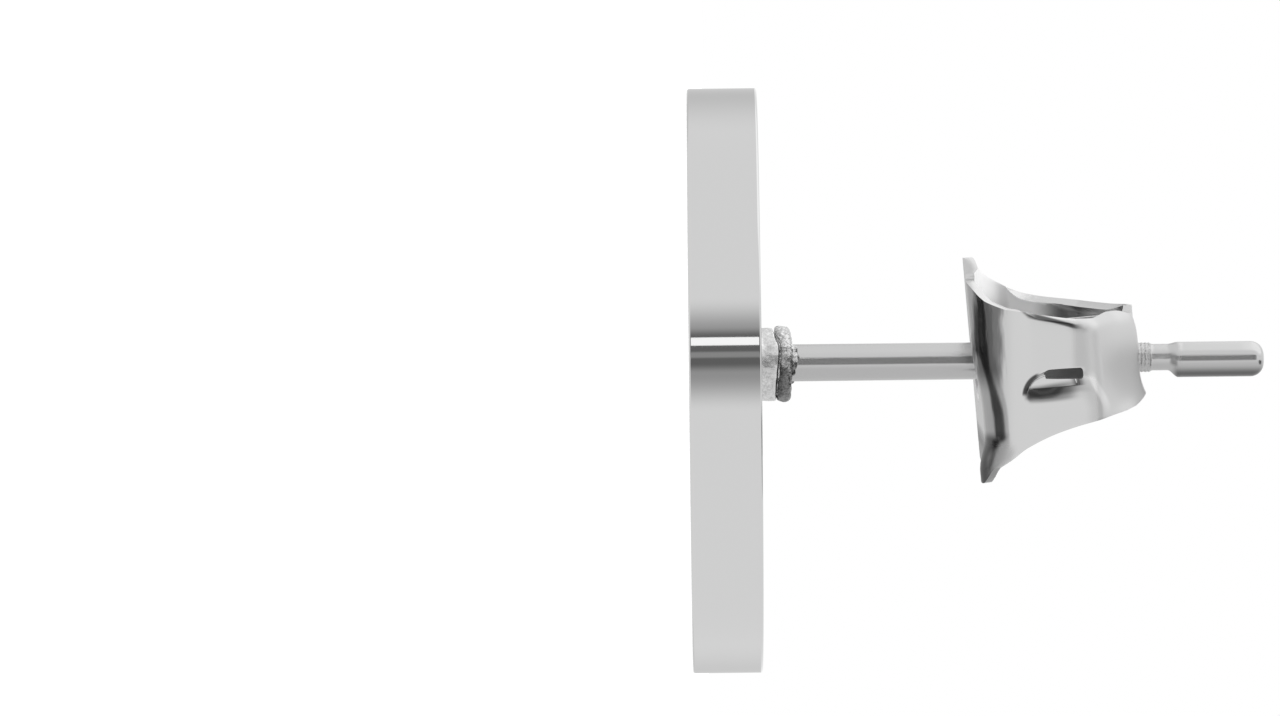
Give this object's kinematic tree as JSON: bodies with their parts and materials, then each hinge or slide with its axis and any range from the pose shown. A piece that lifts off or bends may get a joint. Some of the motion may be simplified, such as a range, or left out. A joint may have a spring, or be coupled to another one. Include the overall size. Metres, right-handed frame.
{
  "type": "stud earring",
  "caption": "Round flat polished steel stud earring with a welded post and a butterfly ear nut that slides on it.",
  "frame": {"origin": "centre of the disc's front face, which lies on the ground", "axes": "+Z along the post, from the disc to the tip; +Y towards the side of the disc that the post stands nearer to; X along the ear nut's arms"},
  "size_m": [0.012, 0.012, 0.0118],
  "materials": {
    "polished_steel": "mirror-polished stainless steel, rough at the weld",
    "sheet_steel": "bright pressed stainless sheet, faintly streaked at its bends"
  },
  "bodies": {
    "stud": {"disc_and_post": "polished_steel"},
    "nut": {"ear_nut": "sheet_steel"}
  },
  "joints": [
    {"name": "nut_slide", "type": "slide", "parent": "stud", "child": "nut", "axis": [0, 0, 1], "range_m": [-0.0035, 0.0065]}
  ]
}
